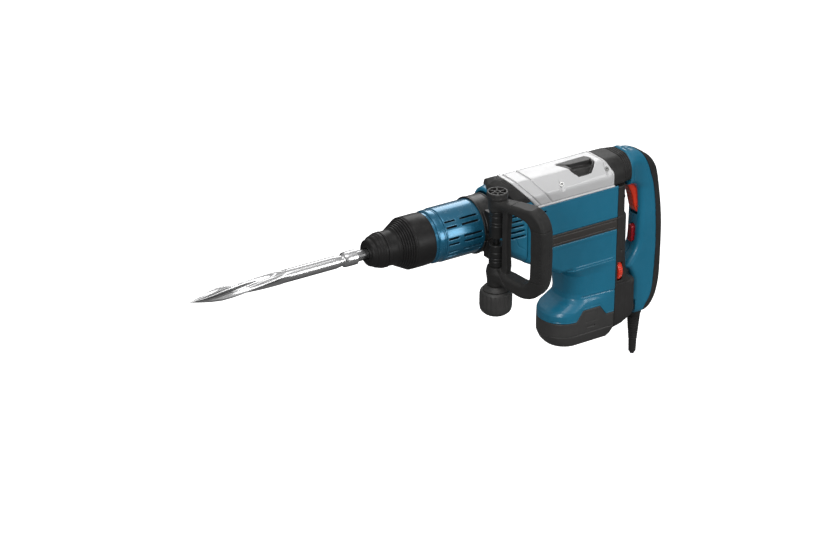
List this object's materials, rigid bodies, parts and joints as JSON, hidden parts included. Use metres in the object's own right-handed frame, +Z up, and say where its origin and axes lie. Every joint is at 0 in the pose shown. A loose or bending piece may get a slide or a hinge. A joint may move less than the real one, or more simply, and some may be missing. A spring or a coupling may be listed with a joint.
{
  "type": "electric demolition hammer",
  "caption": "Hand-held electric demolition hammer with a pointed chisel, quick-change tool holder, side D grip, vertical motor and damped rear D handle.",
  "frame": {"origin": "centre of the dust cap's front face, on the hammer axis", "axes": "+X along the hammer axis from the chisel towards the rear handle, +Z up away from the motor, -Y towards the side grip"},
  "size_m": [0.923, 0.2152, 0.4227],
  "materials": {
    "cast_silver": "fine satin silver coat over a magnesium casting",
    "screw_steel": "bright zinc",
    "screw_black": "black oxide",
    "black_plastic": "glass-filled nylon, fine spark texture",
    "black_rubber": "soft overmould",
    "cord_rubber": "heavy rubber flex",
    "blue_plastic": "teal-blue moulded nylon, satin",
    "blue_metal": "metallic blue satin coat",
    "dark_trim": "dark grey moulded strip",
    "dark_cast": "black coated casting",
    "ground_steel": "ground and hardened",
    "bearing_steel": "polished",
    "spring_steel": "oiled wire",
    "cast_alloy": "die cast",
    "lamination": "varnished lamination stack",
    "carbon": "pressed carbon",
    "copper": "turned copper bars",
    "fan_plastic": "moulded",
    "red_plastic": "orange-red moulded",
    "dark_red_plastic": "dark red moulded",
    "chisel_steel": "bright forged and polished"
  },
  "bodies": {
    "housing": {"gear_housing": "cast_silver", "gear_housing_screws": "screw_steel", "top_insert": "black_plastic", "top_guard": "black_rubber", "front_casing": "blue_plastic", "motor_housing": "blue_plastic", "side_trims": "dark_trim", "rear_cover": "black_plastic", "motor_cap": "black_plastic", "casing_screws": "screw_black", "barrel_sleeve": "blue_metal", "barrel_tube": "dark_cast", "hammer_cylinder": "ground_steel", "gear_plate": "cast_alloy", "crank_bearing": "bearing_steel", "rotor_bearings": "bearing_steel", "stator": "lamination", "brush_carrier": "black_plastic", "carbon_brushes": "carbon", "control_module": "black_plastic", "bellows_front": "black_rubber", "damper_springs": "spring_steel", "handle_pivot_pin": "ground_steel"},
    "rear_handle": {"handle_shell_left": "blue_plastic", "handle_shell_right": "blue_plastic", "handle_grip": "black_rubber", "handle_screws": "screw_black", "trigger_pin": "ground_steel", "switch_block": "black_plastic", "bellows_rear": "black_rubber", "cord_boot": "black_rubber", "power_cord": "cord_rubber"},
    "trigger": {"trigger": "red_plastic"},
    "lock_button": {"lock_button": "dark_red_plastic"},
    "speed_dial": {"speed_dial": "red_plastic"},
    "tool_holder": {"tool_holder_tube": "ground_steel", "adjusting_ring": "blue_metal", "dust_cap": "black_rubber", "locking_rollers": "ground_steel", "sleeve_spring": "spring_steel"},
    "locking_sleeve": {"locking_sleeve": "black_plastic"},
    "chisel": {"chisel": "chisel_steel"},
    "handle_clamp": {"clamp_band": "dark_cast", "clamp_bolt": "screw_steel", "bolt_cap": "black_plastic"},
    "side_grip": {"side_grip": "black_plastic", "side_grip_pad": "black_rubber"},
    "clamp_knob": {"clamp_knob": "black_plastic"},
    "rotor": {"rotor_shaft": "ground_steel", "armature": "lamination", "commutator": "copper", "cooling_fan": "fan_plastic"},
    "crank": {"crankshaft": "ground_steel", "crank_gear": "ground_steel"},
    "piston": {"piston": "cast_alloy", "wrist_pin": "ground_steel"},
    "connecting_rod": {"connecting_rod": "cast_alloy"},
    "striker": {"striker": "ground_steel"},
    "impact_bolt": {"impact_bolt": "ground_steel"}
  },
  "joints": [
    {"name": "handle_damping", "type": "hinge", "parent": "housing", "child": "rear_handle", "pos_m": [0.53, 0, -0.236], "axis": [0, 1, 0], "range_deg": [-1.5, 0.4], "stiffness_Nm_per_rad": 260},
    {"name": "trigger_pull", "type": "hinge", "parent": "rear_handle", "child": "trigger", "pos_m": [0.547, 0, -0.047], "axis": [0, 1, 0], "range_deg": [0, 7]},
    {"name": "lock_button_press", "type": "slide", "parent": "rear_handle", "child": "lock_button", "axis": [1, 0, 0], "range_m": [0, 0.003]},
    {"name": "speed_dial_turn", "type": "hinge", "parent": "housing", "child": "speed_dial", "pos_m": [0.4865, -0.028, -0.143], "axis": [1, 0, 0], "range_deg": [-150, 150]},
    {"name": "tool_holder_turn", "type": "hinge", "parent": "housing", "child": "tool_holder", "pos_m": [0, 0, 0], "axis": [1, 0, 0], "continuous": true},
    {"name": "locking_sleeve_slide", "type": "slide", "parent": "tool_holder", "child": "locking_sleeve", "axis": [1, 0, 0], "range_m": [0, 0.0044]},
    {"name": "chisel_play", "type": "slide", "parent": "tool_holder", "child": "chisel", "axis": [1, 0, 0], "range_m": [-0.01, 0.008]},
    {"name": "side_handle_turn", "type": "hinge", "parent": "housing", "child": "handle_clamp", "pos_m": [0.2185, 0, 0], "axis": [1, 0, 0], "continuous": true},
    {"name": "side_grip_swing", "type": "hinge", "parent": "handle_clamp", "child": "side_grip", "pos_m": [0.213, -0.063, 0], "axis": [0, 0, 1], "range_deg": [-30, 30]},
    {"name": "clamp_knob_turn", "type": "hinge", "parent": "handle_clamp", "child": "clamp_knob", "pos_m": [0.213, -0.063, -0.11], "axis": [0, 0, 1], "continuous": true},
    {"name": "rotor_spin", "type": "hinge", "parent": "housing", "child": "rotor", "pos_m": [0.443, 0, 0], "axis": [0, 0, 1], "continuous": true},
    {"name": "crank_turn", "type": "hinge", "parent": "housing", "child": "crank", "pos_m": [0.408, 0, 0], "axis": [0, 0, 1], "continuous": true},
    {"name": "piston_stroke", "type": "slide", "parent": "housing", "child": "piston", "axis": [1, 0, 0], "range_m": [-0.032, 0]},
    {"name": "rod_swing", "type": "hinge", "parent": "piston", "child": "connecting_rod", "pos_m": [0.344, 0, 0], "axis": [0, 0, 1], "range_deg": [-11.5, 11.5]},
    {"name": "striker_slide", "type": "slide", "parent": "housing", "child": "striker", "axis": [1, 0, 0], "range_m": [-0.01, 0.02]},
    {"name": "impact_bolt_slide", "type": "slide", "parent": "housing", "child": "impact_bolt", "axis": [1, 0, 0], "range_m": [-0.004, 0.01]}
  ],
  "couplings": [
    {"joint": "crank_turn", "follows": "rotor_spin", "ratio": -0.16667}
  ]
}
